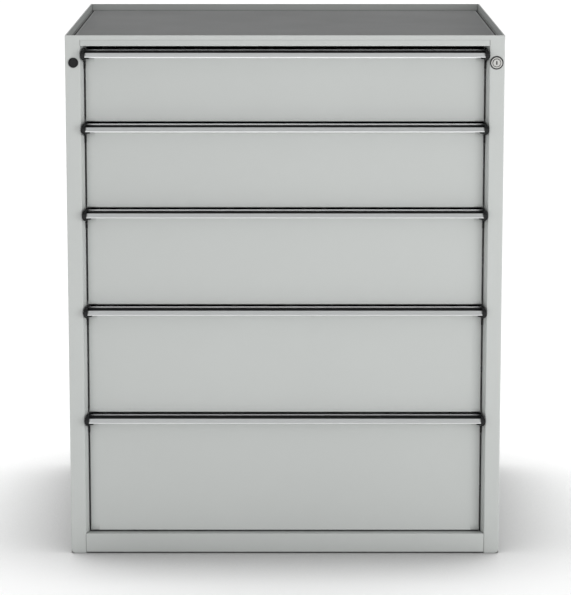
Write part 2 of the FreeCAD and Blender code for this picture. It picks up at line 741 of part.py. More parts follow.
def drawerHandle(number):
    """Extruded handle over the full width, with a lip that slopes forwards and down, and its black inlay."""
    name = "drawer_%d_handle" % number
    line = moduleHigh(number)
    outline = [
        ("0", "dims.front_gap"),
        ("dims.web", "dims.front_gap"),
        ("dims.web", "dims.arm_high"),
        ("dims.lip_start - 1.4", "dims.arm_high"),
        ("dims.lip_start - 0.8", "dims.lip_high"),
        ("dims.lip_start", "dims.lip_high"),
        ("dims.nose", "dims.nose_high - 0.6"),
        ("dims.nose", "dims.nose_high + 0.8"),
        ("dims.nose - 1.8", "dims.nose_high + 0.8"),
        ("dims.lip_start - 1.2", "dims.arm_high + dims.arm_thick"),
        ("dims.web", "dims.arm_high + dims.arm_thick"),
        ("dims.web", "dims.web_low"),
        ("0", "dims.web_low"),
    ]
    body = newBody(name)
    sketch = newSketch(body, "YZ_Plane", name + "_section")
    polygon(sketch, [(forward(out), "%s - (%s)" % (line, down)) for out, down in outline])
    solid = pad(body, sketch, "2 * " + frontHalf, both=True)
    chosen = [outline[index] for index in (5, 6, 7)]
    spots = [(value(forward(out)), value(line) - value(down)) for out, down in chosen]
    roundEdges(body, solid, "0.6", lambda edge: runsAlong(edge, "x", spots))
    node(body, name)

    name = "drawer_%d_label_strip" % number
    rear = "dims.web + dims.strip_play"
    outline = [
        (rear, "dims.arm_high"),
        ("dims.lip_start - 1.6", "dims.arm_high"),
        ("dims.lip_start - 1.6", "dims.arm_high - dims.strip_thick"),
        (rear + " + dims.strip_thick", "dims.arm_high - dims.strip_thick"),
        (rear + " + dims.strip_thick", "dims.strip_up"),
        (rear, "dims.strip_up"),
    ]
    body = newBody(name)
    sketch = newSketch(body, "YZ_Plane", name + "_section")
    polygon(sketch, [(forward(out), "%s - (%s)" % (line, down)) for out, down in outline])
    pad(body, sketch, "2 * %s - 2" % frontHalf, both=True)
    node(body, name)


def endCaps(number):
    """Moulded caps on both ends of the handle: a plate with a tail and a rounded bulge in front."""
    name = "drawer_%d_end_caps" % number
    line = moduleHigh(number)
    outline = [
        ("0", "dims.cap_top"),
        ("dims.cap_flat", "dims.cap_top"),
        ("dims.cap_brow", "dims.cap_brow_low"),
        ("dims.nose", "dims.cap_chin"),
        ("dims.nose", "dims.cap_jaw"),
        ("dims.cap_under", "dims.cap_under_low"),
        ("dims.cap_neck", "dims.cap_neck_low"),
        ("dims.cap_strip", "dims.cap_strip_low"),
        ("dims.cap_strip", "dims.cap_tail"),
        ("0", "dims.cap_tail"),
    ]
    points = [(forward(out), "%s - (%s)" % (line, down)) for out, down in outline]
    body = newBody(name + "_block")
    sketch = newSketch(body, "YZ_Plane", name + "_outline", frontHalf)
    polygon(sketch, points)
    pad(body, sketch, "10")
    ball = cylinder(name + "_round", "y", "dims.cap_bulge", "9",
                    (frontHalf + " - dims.cap_sink", forward("dims.nose + 0.5"),
                     line + " - dims.cap_middle"))
    bulge = combine("MultiCommon", name + "_bulge", [body, ball])
    plate = newBody(name + "_plate")
    sketch = newSketch(plate, "YZ_Plane", name + "_plate_outline", frontHalf)
    polygon(sketch, points)
    pad(plate, sketch, "dims.cap_plate")
    right = combine("MultiFuse", name + "_right", [plate, bulge])
    left = mirrored(name + "_left", right)
    node(combine("Compound", name, [left, right]), name)


def channel(name, inner, outer, middle, opensInwards, start, end):
    """Roller race: a web with two flanges round a roller track, between two Y places."""
    reach = "dims.roller + dims.race"
    web, mouth = (outer, inner) if opensInwards else (inner, outer)
    step = " - dims.steel" if opensInwards else " + dims.steel"
    body = newBody(name)
    sketch = newSketch(body, "XZ_Plane", name + "_section", minus(end))
    polygon(sketch, [
        (web, "%s - (%s) - dims.steel" % (middle, reach)),
        (mouth, "%s - (%s) - dims.steel" % (middle, reach)),
        (mouth, "%s - (%s)" % (middle, reach)),
        (web + step, "%s - (%s)" % (middle, reach)),
        (web + step, "%s + %s" % (middle, reach)),
        (mouth, "%s + %s" % (middle, reach)),
        (mouth, "%s + %s + dims.steel" % (middle, reach)),
        (web, "%s + %s + dims.steel" % (middle, reach)),
    ])
    pad(body, sketch, "(%s) - (%s)" % (end, start))
    return body


def runners(number):
    """Three-part runner on each side: rail in the cabinet, roller carriage, rail on the drawer."""
    middle = "(%s + dims.slide_mid)" % moduleLow(number)
    lowTrack = "(%s - dims.roller - dims.race_step)" % middle
    highTrack = "(%s + dims.roller + dims.race_step)" % middle

    name = "drawer_%d_cabinet_rails" % number
    right = channel(name + "_right", runnerOut + " - dims.cabinet_race", runnerOut, lowTrack, True,
                    "dims.runner_front", "dims.runner_back")
    node(combine("Compound", name, [mirrored(name + "_left", right), right]), name)

    name = "drawer_%d_drawer_rails" % number
    right = channel(name + "_right", "dims.pan_half", "dims.pan_half + dims.drawer_race", highTrack, False,
                    drawerY + " + dims.front_deep + 2", "dims.runner_back - 10")
    node(combine("Compound", name, [mirrored(name + "_left", right), right]), name)

    # carriage: a strip with three rollers on each face
    name = "drawer_%d_carriages" % number
    strip = box(name + "_strip",
                (runnerOut + " - 11", "dims.runner_front + 5", middle + " - dims.strip_half"),
                (runnerOut + " - 11 + dims.strip_plate", "dims.runner_back - 10",
                 middle + " + dims.strip_half"))
    rollers = []
    pins = [strip]
    tracks = {
        "outer": (runnerOut + " - 8.5", lowTrack, ("40", "180", "320")),
        "inner": ("dims.pan_half + 2.5", highTrack, ("-300", "-160", "-20")),
    }
    for face, (near, level, places) in tracks.items():
        for index, place in enumerate(places):
            tag = "%s_%s_%d" % (name, face, index)
            tyre = cylinder(tag + "_tyre", "x", "dims.roller", "dims.roller_wide", (near, place, level))
            hole = cylinder(tag + "_hole", "x", "dims.pin_radius", "dims.roller_wide", (near, place, level))
            rollers.append(cut(tag + "_roller", tyre, hole))
            pinStart = near if face == "inner" else runnerOut + " - 10"
            pin = cylinder(tag + "_pin", "x", "dims.pin_radius", "dims.pin_long", (pinStart, place, level))
            pins.append(pin)
    frame = combine("MultiFuse", name + "_frame", pins)
    right = combine("Compound", name + "_right", [frame] + rollers)
    node(combine("Compound", name, [mirrored(name + "_left", right), right]), name)


def buffers():
    """Rubber stops at the back of the cabinet rails, two for each drawer."""
    stops = []
    for number in drawerNumbers:
        level = "%s + dims.slide_mid - dims.roller - dims.race_step" % moduleLow(number)
        name = "buffer_%d" % number
        right = box(name,
                    (runnerOut + " - dims.cabinet_race + 0.5", "dims.buffer_from",
                     level + " - dims.buffer_tall / 2"),
                    (runnerOut + " - dims.steel", "dims.buffer_to", level + " + dims.buffer_tall / 2"))
        stops += [mirrored(name + "_left", right), right]
    node(combine("Compound", "runner_buffers", stops), "runner_buffers")


for drawerNumber in drawerNumbers:
    drawerFront(drawerNumber)
    drawerPan(drawerNumber)
    drawerHandle(drawerNumber)
    endCaps(drawerNumber)
    runners(drawerNumber)
buffers()

# Checks and export.

doc.recompute()
for thing in doc.Objects:
    if "Invalid" in thing.State or "Error" in thing.State:
        raise RuntimeError("%s failed: %s" % (thing.Name, thing.State))
for thing in nodes:
    if thing.Shape.isNull() or not thing.Shape.isValid():
        raise RuntimeError("%s has no valid shape" % thing.Label)

os.makedirs("parts", exist_ok=True)
for thing in nodes:
    thing.Shape.exportStep("parts/%s.step" % thing.Label)
    extent = thing.Shape.BoundBox
    print("%-28s solids %2d  volume %10.0f mm3  z %7.1f to %7.1f" % (
        thing.Label, len(thing.Shape.Solids), thing.Shape.Volume, extent.ZMin, extent.ZMax))
print("%d nodes" % len(nodes))
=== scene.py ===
import bpy
import bmesh
import json
import math
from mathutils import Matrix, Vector


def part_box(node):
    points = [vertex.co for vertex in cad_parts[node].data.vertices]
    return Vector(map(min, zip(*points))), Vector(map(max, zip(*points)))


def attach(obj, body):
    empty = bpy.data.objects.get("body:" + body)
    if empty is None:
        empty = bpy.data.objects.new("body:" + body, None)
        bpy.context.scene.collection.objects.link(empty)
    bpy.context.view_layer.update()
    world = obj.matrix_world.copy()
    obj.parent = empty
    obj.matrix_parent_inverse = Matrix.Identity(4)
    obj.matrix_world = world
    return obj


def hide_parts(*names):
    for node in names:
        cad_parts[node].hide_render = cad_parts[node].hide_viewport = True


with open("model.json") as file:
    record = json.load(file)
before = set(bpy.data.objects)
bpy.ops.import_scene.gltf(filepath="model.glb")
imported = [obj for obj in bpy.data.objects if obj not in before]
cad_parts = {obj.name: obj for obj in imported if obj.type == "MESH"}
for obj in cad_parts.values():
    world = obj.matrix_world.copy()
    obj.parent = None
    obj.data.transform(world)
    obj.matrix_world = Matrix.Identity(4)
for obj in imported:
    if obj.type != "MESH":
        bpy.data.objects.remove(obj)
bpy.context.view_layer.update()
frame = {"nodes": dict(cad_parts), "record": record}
nodes = frame["nodes"]
scene = bpy.context.scene
drawerNumbers = (1, 2, 3, 4, 5)
mm = 0.001
mergeDistance = 0.001 * mm   # vertices nearer than this are one

scene.view_settings.view_transform = "Standard"


def hexColor(text):
    # sRGB hex to linear, with alpha
    channels = [int(text[i:i + 2], 16) / 255 for i in (1, 3, 5)]
    return tuple(c / 12.92 if c <= 0.04045 else ((c + 0.055) / 1.055) ** 2.4 for c in channels) + (1.0,)


def addNode(tree, kind, settings=None, links=None):
    # settings are the node's own properties; links are its inputs, each a value or another node's output
    node = tree.nodes.new(kind)
    for name, value in (settings or {}).items():
        setattr(node, name, value)
    for name, value in (links or {}).items():
        socket = node.inputs[name]
        if isinstance(value, bpy.types.NodeSocket):
            tree.links.new(value, socket)
        else:
            socket.default_value = value
    return node


def calculated(tree, operation, a, b=0.0):
    return addNode(tree, "ShaderNodeMath", {"operation": operation}, {0: a, 1: b}).outputs[0]


def combined(tree, x=0.0, y=0.0, z=0.0):
    return addNode(tree, "ShaderNodeCombineXYZ", links={"X": x, "Y": y, "Z": z}).outputs[0]


def separated(tree, vector):
    return addNode(tree, "ShaderNodeSeparateXYZ", links={"Vector": vector}).outputs


def stretched(tree, vector, scale):
    return addNode(tree, "ShaderNodeMapping", links={"Vector": vector, "Scale": scale}).outputs["Vector"]


def noise(tree, vector, scale, detail, roughness=0.5):
    links = {"Vector": vector, "Scale": scale, "Detail": detail, "Roughness": roughness}
    return addNode(tree, "ShaderNodeTexNoise", links=links).outputs["Fac"]


def mapped(tree, value, fromRange=(0.0, 1.0), toRange=(0.0, 1.0)):
    links = {"Value": value, "From Min": fromRange[0], "From Max": fromRange[1],
             "To Min": toRange[0], "To Max": toRange[1]}
    return addNode(tree, "ShaderNodeMapRange", links=links).outputs["Result"]


def mixed(tree, factor, atZero, atOne):
    links = {"Factor": factor, "A": atZero, "B": atOne}
    return addNode(tree, "ShaderNodeMix", {"data_type": "RGBA"}, links).outputs["Result"]


def bumped(tree, height, relief):
    # relief is the strength of the bump and its height in metres
    strength, distance = relief
    links = {"Height": height, "Strength": strength, "Distance": distance}
    return addNode(tree, "ShaderNodeBump", links=links)


def openness(tree, reach, samples=8):
    # 1 in the open, less the more the surroundings within reach shut light out
    hollow = addNode(tree, "ShaderNodeAmbientOcclusion", {"samples": samples}, {"Distance": reach})
    return hollow.outputs["AO"]


def newMaterial(name):
    material = bpy.data.materials.new(name)
    material.use_nodes = True
    tree = material.node_tree
    tree.nodes.clear()
    shader = addNode(tree, "ShaderNodeBsdfPrincipled")
    addNode(tree, "ShaderNodeOutputMaterial", links={"Surface": shader.outputs["BSDF"]})
    place = addNode(tree, "ShaderNodeTexCoord").outputs["Object"]
    return material, tree, shader, place


def wired(tree, shader, tone, rough, bump=None):
    tree.links.new(tone, shader.inputs["Base Color"])
    tree.links.new(rough, shader.inputs["Roughness"])
    if bump:
        tree.links.new(bump.outputs["Normal"], shader.inputs["Normal"])


def newObject(name, data):
    piece = bpy.data.objects.new(name, data)
    scene.collection.objects.link(piece)
    return piece


def meshFrom(name, verts, faces):
    mesh = bpy.data.meshes.new(name)
    mesh.from_pydata(verts, [], faces)
    mesh.update()
    return mesh


def cleaned(source, mesh, flat=0):
    # the source's shape in the mesh: doubles merged, faces joined where they meet at less than the flat
    # angle, and all of them turned outwards
    work = bmesh.new()
    work.from_mesh(source)
    bmesh.ops.remove_doubles(work, verts=work.verts, dist=mergeDistance)
    if flat:
        bmesh.ops.dissolve_limit(work, angle_limit=math.radians(flat), verts=work.verts, edges=work.edges)
    bmesh.ops.recalc_face_normals(work, faces=work.faces)
    work.to_mesh(mesh)
    work.free()
    return mesh


def baked(piece):
    # the modifiers' result as a plain mesh on the same object
    graph = bpy.context.evaluated_depsgraph_get()
    mesh = bpy.data.meshes.new_from_object(piece.evaluated_get(graph))
    piece.modifiers.clear()
    piece.data = mesh
    return piece


def finishPiece(piece, body, slotName, replaced=(), material=None):
    # one material on every face, the slot's own unless another is given
    piece.data.materials.clear()
    piece.data.materials.append(material or slotMaterials[slotName])
    piece.data.polygons.foreach_set("material_index", [0] * len(piece.data.polygons))
    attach(piece, body)
    if replaced:
        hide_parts(*replaced)


powderCoat = {
    "color": "#C4C7C5",
    "shade": "#BFC2C0",      # slow drift of tone over a panel
    "driftScale": 2.5,
    "corner": "#5E605F",     # painted shade in the folds and gaps, where little light gets in
    "cornerReach": 4.0 * mm,
    "cornerRange": (0.05, 0.95),   # openness from the deepest painted shade to none
    "cornerLeft": 0.0,       # share of the paint's own tone left where the painted shade is deepest
    "shadeFreeHalf": None,       # no painted shade nearer to the middle than this
    "shadeFreeFade": 6.0 * mm,
    "roughness": (0.37, 0.49),
    "specular": 0.4,
    "peelSize": 2.2 * mm,    # real orange peel is finer; drawn coarser so that it shows
    "peel": (0.35, 0.16 * mm),
    "welds": None,           # spot weld prints on the side walls
}

# Where the spot welds of the runner uprights print through the side walls, in two rows
weldPrints = {
    "pitch": 50.0 * mm,
    "middle": 12.5 * mm,     # halfway between the rows
    "half": 322.5 * mm,      # from there to each row
    "radius": 3.2 * mm,
    "core": 0.7,             # share of the radius that has the full tone
    "wall": 439.6 * mm,      # prints only further out than this
    "tone": "#A9ACAA",
    "dent": (0.6, 0.4 * mm),
}


def weldMask(tree, place, values):
    # 1 on the prints, 0 elsewhere
    axes = separated(tree, place)
    fromMiddle = calculated(tree, "ABSOLUTE", calculated(tree, "SUBTRACT", axes["Y"], values["middle"]))
    fromRow = calculated(tree, "SUBTRACT", fromMiddle, values["half"])
    step = calculated(tree, "FRACT", calculated(tree, "DIVIDE", axes["Z"], values["pitch"]))
    fromSpot = calculated(tree, "MULTIPLY", calculated(tree, "SUBTRACT", step, 0.5), values["pitch"])
    rowSquare = calculated(tree, "MULTIPLY", fromRow, fromRow)
    spotSquare = calculated(tree, "MULTIPLY", fromSpot, fromSpot)
    distance = calculated(tree, "SQRT", calculated(tree, "ADD", rowSquare, spotSquare))
    spot = mapped(tree, distance, (values["radius"] * values["core"], values["radius"]), (1.0, 0.0))
    onWall = calculated(tree, "GREATER_THAN", calculated(tree, "ABSOLUTE", axes["X"]), values["wall"])
    return calculated(tree, "MULTIPLY", spot, onWall)


def makePowderCoat(name, values):
    # Powder-coated sheet steel, sprayed and baked: even satin grey with a faint orange peel
    material, tree, shader, place = newMaterial(name)
    drift = noise(tree, place, values["driftScale"], detail=2.0)
    grain = noise(tree, place, 1 / values["peelSize"], detail=2.0, roughness=0.6)
    tone = mixed(tree, drift, hexColor(values["color"]), hexColor(values["shade"]))
    # painted shade: the paint is darker in folds and gaps, where little light gets in
    clear = mapped(tree, openness(tree, values["cornerReach"]), values["cornerRange"],
                   (values["cornerLeft"], 1.0))
    # where a half-width is given, no painted shade nearer the middle than it
    if values["shadeFreeHalf"]:
        aside = calculated(tree, "ABSOLUTE", separated(tree, place)["X"])
        fade = (values["shadeFreeHalf"], values["shadeFreeHalf"] + values["shadeFreeFade"])
        clear = calculated(tree, "MAXIMUM", clear, mapped(tree, aside, fade, (1.0, 0.0)))
    tone = mixed(tree, clear, hexColor(values["corner"]), tone)
    rough = mapped(tree, grain, toRange=values["roughness"])
    bump = bumped(tree, grain, values["peel"])
    if values["welds"]:
        mask = weldMask(tree, place, values["welds"])
        tone = mixed(tree, mask, tone, hexColor(values["welds"]["tone"]))
        dents = bumped(tree, mask, values["welds"]["dent"])
        dents.invert = True
        tree.links.new(bump.outputs["Normal"], dents.inputs["Normal"])
        bump = dents
    wired(tree, shader, tone, rough, bump)
    shader.inputs["Specular IOR Level"].default_value = values["specular"]
    return material


def shadedInHollows(tree, tone, values):
    # the metal's tone with painted shade where little light gets in
    clear = mapped(tree, openness(tree, values["cornerReach"]), values["cornerRange"])
    return mixed(tree, clear, hexColor(values["corner"]), tone)


anodised = {
    "color": "#EBEDED",
    "dark": "#D9DBDB",
    "corner": "#3A3B3B",     # painted shade in the hollow behind the lip
    "cornerReach": 20.0 * mm,
    "cornerRange": (0.45, 0.8),
    "roughness": (0.28, 0.42),
    "lineSpacing": 1.2 * mm,
    "alongScale": 1.5,
    "lines": (0.2, 0.05 * mm),
}


def makeAnodised(name, values):
    # Extruded aluminium, etched and anodised: satin metal with fine die lines along the extrusion
    material, tree, shader, place = newMaterial(name)
    across = 1 / values["lineSpacing"]
    lines = noise(tree, stretched(tree, place, (values["alongScale"], across, across)), scale=1.0, detail=3.0)
    tone = mixed(tree, lines, hexColor(values["dark"]), hexColor(values["color"]))
    rough = mapped(tree, lines, toRange=values["roughness"])
    # painted shade in the hollow behind the lip
    wired(tree, shader, shadedInHollows(tree, tone, values), rough, bumped(tree, lines, values["lines"]))
    shader.inputs["Metallic"].default_value = 1.0
    return material


blackPlastic = {
    "color": "#0C0D0E",
    "worn": "#161718",
    "roughness": (0.46, 0.62),
    "specular": 0.3,
    "grainSize": 0.9 * mm,
    "grain": (0.3, 0.1 * mm),
}


def makeMouldedPlastic(name, values):
    # Injection-moulded ABS with a fine spark-eroded grain: black, dull, with soft highlights
    material, tree, shader, place = newMaterial(name)
    grain = noise(tree, place, 1 / values["grainSize"], detail=2.0)
    tone = mixed(tree, grain, hexColor(values["color"]), hexColor(values["worn"]))
    rough = mapped(tree, grain, toRange=values["roughness"])
    wired(tree, shader, tone, rough, bumped(tree, grain, values["grain"]))
    shader.inputs["Specular IOR Level"].default_value = values["specular"]
    return material


zincPlate = {
    "color": "#C9CCCF",
    "dark": "#9DA2A8",
    # painted shade where little light gets in
    "corner": "#4C4D4E",
    "cornerReach": 20.0 * mm,
    "cornerRange": (0.3, 0.7),
    "roughness": (0.22, 0.42),
    "spangle": 6.0 * mm,
    "rolling": (900.0, 8.0, 900.0),   # scale of the rolling lines on each axis
    "lines": (0.15, 0.05 * mm),
}


def makeZincPlate(name, values):
    # Cold-rolled steel, zinc-plated and blue-passivated: bright, slightly clouded, with rolling lines
    material, tree, shader, place = newMaterial(name)
    clouds = noise(tree, place, 1 / values["spangle"], detail=4.0, roughness=0.6)
    lines = noise(tree, stretched(tree, place, values["rolling"]), scale=1.0, detail=2.0)
    tone = mixed(tree, clouds, hexColor(values["dark"]), hexColor(values["color"]))
    rough = mapped(tree, clouds, toRange=values["roughness"])
    # with painted shade in the hollows
    wired(tree, shader, shadedInHollows(tree, tone, values), rough, bumped(tree, lines, values["lines"]))
    shader.inputs["Metallic"].default_value = 1.0
    return material


rubberMat = {
    "color": "#9C9D9D",
    "dust": "#B0B1B1",
    "patchScale": 6.0,
    "roughness": (0.64, 0.82),
    "specular": 0.3,
    "grainSize": 1.5 * mm,
    "grain": (0.35, 0.1 * mm),
}


def makeRubber(name, values):
    # Calendered rubber sheet: dull grey, a little dusty, no clear highlight
    material, tree, shader, place = newMaterial(name)
    grain = noise(tree, place, 1 / values["grainSize"], detail=3.0)
    patches = noise(tree, place, values["patchScale"], detail=4.0)
    tone = mixed(tree, patches, hexColor(values["color"]), hexColor(values["dust"]))
    rough = mapped(tree, patches, toRange=values["roughness"])
    wired(tree, shader, tone, rough, bumped(tree, grain, values["grain"]))
    shader.inputs["Specular IOR Level"].default_value = values["specular"]
    return material


nickel = {"color": "#B2B2B0", "dark": "#8E8E8B", "hazeScale": 400.0, "roughness": (0.21, 0.38)}


def makeNickel(name, values):
    # Die-cast zinc, polished and nickel-plated: bright, faintly warm, with a fine haze
    material, tree, shader, place = newMaterial(name)
    haze = noise(tree, place, values["hazeScale"], detail=3.0)
    tone = mixed(tree, haze, hexColor(values["dark"]), hexColor(values["color"]))
    wired(tree, shader, tone, mapped(tree, haze, toRange=values["roughness"]))
    shader.inputs["Metallic"].default_value = 1.0
    return material


# drawer fronts: deeper painted shade reaching 20 mm, kept to the strips beside the posts
frontCoat = dict(powderCoat, corner="#2E302F", cornerReach=20.0 * mm, cornerRange=(0.5, 0.95),
                 cornerLeft=0.45, shadeFreeHalf=382.0 * mm)
innerCoat = dict(powderCoat, color="#BFC2C1", shade="#B5B8B7", roughness=(0.45, 0.57))
stopRubber = dict(rubberMat, color="#141414", dust="#1E1E1E")

slotMaterials = {
    "body_paint": makePowderCoat("powderCoatLightGrey", dict(powderCoat, welds=weldPrints)),
    "inner_paint": makePowderCoat("powderCoatInside", innerCoat),
    "tray_rubber": makeRubber("ribbedGreyRubber", rubberMat),
    "handle_aluminium": makeAnodised("anodisedExtrudedAluminium", anodised),
    "black_plastic": makeMouldedPlastic("mouldedBlackABS", blackPlastic),
    "zinc_steel": makeZincPlate("zincPlatedSteel", zincPlate),
    "lock_chrome": makeNickel("nickelPlatedZinc", nickel),
    "buffer_rubber": makeRubber("softBlackRubber", stopRubber),
}
frontPaint = makePowderCoat("powderCoatDrawerFronts", frontCoat)

for part in frame["record"]["subparts"]:
    material = frontPaint if part["node"].endswith("_front") else slotMaterials[part["material_slot"]]
    for materialSlot in nodes[part["node"]].material_slots:
        materialSlot.material = material
print("materials on", len(nodes), "CAD nodes")


def newNodeGroup(name, sizes):
    # geometry in and out, and one named number for each size
    group = bpy.data.node_groups.new(name, "GeometryNodeTree")
    group.interface.new_socket("Geometry", in_out="INPUT", socket_type="NodeSocketGeometry")
    group.interface.new_socket("Geometry", in_out="OUTPUT", socket_type="NodeSocketGeometry")
    for size, value in sizes.items():
        kind = "NodeSocketInt" if isinstance(value, int) else "NodeSocketFloat"
        group.interface.new_socket(size, in_out="INPUT", socket_type=kind)
    return group, group.nodes.new("NodeGroupInput").outputs, group.nodes.new("NodeGroupOutput")


def joined(group, parts):
    everything = addNode(group, "GeometryNodeJoinGeometry")
    for part in parts:
        group.links.new(part, everything.inputs[0])
    return everything.outputs[0]


def placed(group, points, instance):
    links = {"Points": points, "Instance": instance}
    return addNode(group, "GeometryNodeInstanceOnPoints", links=links).outputs[0]


def inRow(group, count, start, offset, instance):
    # instances in a straight row, each one offset from the last
    links = {"Count": count, "Start Location": start, "Offset": offset}
    return placed(group, addNode(group, "GeometryNodeMeshLine", links=links).outputs[0], instance)


def closeTree(group, leave, parts, material):
    # the parts joined, made real and given their material
    real = addNode(group, "GeometryNodeRealizeInstances", links={0: joined(group, parts)}).outputs[0]
    painted = addNode(group, "GeometryNodeSetMaterial", links={"Geometry": real, "Material": material})
    group.links.new(painted.outputs[0], leave.inputs[0])
    return group


def grown(piece, group, sizes):
    # the node group's result as the piece's own plain mesh
    modifier = piece.modifiers.new(group.name, "NODES")
    modifier.node_group = group
    for item in group.interface.items_tree:
        if item.in_out == "INPUT" and item.name in sizes:
            modifier[item.identifier] = sizes[item.name]
    return baked(piece)


def boxPart(low, high):
    # verts and faces of one closed box
    verts = [(x, y, z) for z in (low[2], high[2]) for y in (low[1], high[1]) for x in (low[0], high[0])]
    faces = [(0, 2, 3, 1), (4, 5, 7, 6), (0, 1, 5, 4), (2, 6, 7, 3), (0, 4, 6, 2), (1, 3, 7, 5)]
    return verts, faces


def pieceFrom(name, parts):
    # several (verts, faces) parts as one object
    verts, faces = [], []
    for partVerts, partFaces in parts:
        faces += [tuple(len(verts) + index for index in face) for face in partFaces]
        verts += partVerts
    return newObject(name, meshFrom(name, verts, faces))


def extruded(outline, start, end, place):
    # a closed outline of (a, b) pairs swept from start to end; place(along, a, b) gives the point
    count = len(outline)
    verts = [place(along, a, b) for along in (start, end) for a, b in outline]
    faces = [tuple(range(count)), tuple(range(2 * count - 1, count - 1, -1))]
    faces += [(i, i + count, (i + 1) % count + count, (i + 1) % count) for i in range(count)]
    return verts, faces


def bevelled(piece, width, segments=2, angle=30):
    modifier = piece.modifiers.new("edges", "BEVEL")
    modifier.width = width
    modifier.segments = segments
    modifier.limit_method = "ANGLE"
    modifier.angle_limit = math.radians(angle)
    return baked(piece)


def smoothed(piece, angle=35):
    # soft shading except over edges sharper than the angle
    piece.data.shade_smooth()
    piece.data.set_sharp_from_angle(angle=math.radians(angle))
    return piece


def turned(name, section, centre, steps=48):
    # a closed section of (radius, out) pairs turned round an axis along Y through the centre
    verts, faces = [], []
    count = len(section)
    for step in range(steps):
        angle = 2 * math.pi * step / steps
        verts += [(centre.x + radius * math.cos(angle), centre.y - out, centre.z + radius * math.sin(angle))
                  for radius, out in section]
        this = step * count
        following = (step + 1) % steps * count
        faces += [(this + i, this + (i + 1) % count, following + (i + 1) % count, following + i)
                  for i in range(count)]
    piece = pieceFrom(name, [(verts, faces)])
    cleaned(piece.data, piece.data)
    return smoothed(piece)


def middleOf(node, y):
    # the point at this y on the axis along Y through the middle of a CAD node
    low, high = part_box(node)
    return Vector(((low.x + high.x) / 2, y, (low.z + high.z) / 2))


# Rounded copies of the sheet parts whose edges catch the light
softEdges = {
    "width": 1.0 * mm,
    "segments": 3,
    "flat": 2,               # degrees: faces of the CAD mesh that meet at less than this are joined
    "turn": 40,              # degrees: edges sharper than this are rounded
}


def softened(node, name, body, values, material=None):
    mesh = cleaned(nodes[node].data, bpy.data.meshes.new(name), values["flat"])
    piece = newObject(name, mesh)
    bevelled(piece, values["width"], values["segments"], values["turn"])
    smoothed(piece, values["turn"])
    finishPiece(piece, body, "body_paint", (node,), material)


# Ribbed mat: a slab in the tray with low ribs from side to side
ribbedMat = {
    "ribPitch": 3.0 * mm,
    "ribFoot": 1.9 * mm,
    "ribCrest": 1.1 * mm,
    "ribHeight": 0.7 * mm,
    "border": 4.0 * mm,      # plain edge round the ribs
    "chamfer": 0.4 * mm,
    "seamShadeStrip": 2.6 * mm,        # black strip between the mat and the rim, a dark piece standing in for the shade in that seam
}


def ribTree(sizes, material):
    # ribs along X on points in a row along Y
    group, sizesIn, leave = newNodeGroup("ribsOnASlab", sizes)
    halfLength = calculated(group, "MULTIPLY", sizesIn["ribLength"], 0.5)
    start = combined(group, x=calculated(group, "SUBTRACT", 0.0, halfLength))
    line = addNode(group, "GeometryNodeCurvePrimitiveLine",
                   links={"Start": start, "End": combined(group, x=halfLength)})
    section = addNode(group, "GeometryNodeCurvePrimitiveQuadrilateral", {"mode": "TRAPEZOID"},
                      {"Bottom Width": sizesIn["ribFoot"], "Top Width": sizesIn["ribCrest"],
                       "Offset": 0.0, "Height": sizesIn["ribHeight"]})
    rib = addNode(group, "GeometryNodeCurveToMesh",
                  links={"Curve": line.outputs[0], "Profile Curve": section.outputs[0], "Fill Caps": True})
    first = combined(group, y=sizesIn["firstRib"], z=sizesIn["level"])
    ribs = inRow(group, sizesIn["ribCount"], first, combined(group, y=sizesIn["ribPitch"]), rib.outputs[0])
    return closeTree(group, leave, (ribs, sizesIn["Geometry"]), material)


def makeMat(values):
    outerLow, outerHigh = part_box("tray_mat")
    seamShadeStrip = values["seamShadeStrip"]
    low = outerLow + Vector((seamShadeStrip, seamShadeStrip, 0))
    high = outerHigh - Vector((seamShadeStrip, seamShadeStrip, 0))
    top = high.z - values["ribHeight"]
    # a black strip round the mat stands in for the shade in the seam at the rim
    sides = [boxPart(outerLow, (low.x, outerHigh.y, top)),
             boxPart((high.x, outerLow.y, low.z), (outerHigh.x, outerHigh.y, top)),
             boxPart((low.x, outerLow.y, low.z), (high.x, low.y, top)),
             boxPart((low.x, high.y, low.z), (high.x, outerHigh.y, top))]
    finishPiece(pieceFrom("matSeamShadeStrip", sides), "cabinet", "buffer_rubber")
    slab = pieceFrom("ribbedTrayMat", [boxPart(low, (high.x, high.y, top))])
    bevelled(slab, values["chamfer"], segments=1)
    room = high.y - low.y - 2 * values["border"]
    count = int(room / values["ribPitch"])
    sizes = {
        "ribLength": high.x - low.x - 2 * values["border"],
        "ribFoot": values["ribFoot"],
        "ribCrest": values["ribCrest"],
        "ribHeight": values["ribHeight"],
        "ribPitch": values["ribPitch"],
        "ribCount": count,
        "firstRib": (low.y + high.y) / 2 - values["ribPitch"] * (count - 1) / 2,
        "level": top + values["ribHeight"] / 2,
    }
    grown(slab, ribTree(sizes, slotMaterials["tray_rubber"]), sizes)
    finishPiece(slab, "cabinet", "tray_rubber", ("tray_mat",))
    print("mat with", count, "ribs")


# Moulded tongues that close the hollow under each end of a handle's lip
lipTongue = {
    "length": 9.0 * mm,      # along the lip
    "blunt": 4.0 * mm,       # the outer part of it, with the full reach
    "shoulder": 5.0 * mm,
    "high": 16.1 * mm,       # top and underside, under the top of the end caps
    "low": 19.9 * mm,
    "reach": 27.6 * mm,      # front and back, forwards of the back of the handle
    "root": 19.5 * mm,
    "rounding": 0.5 * mm,
}


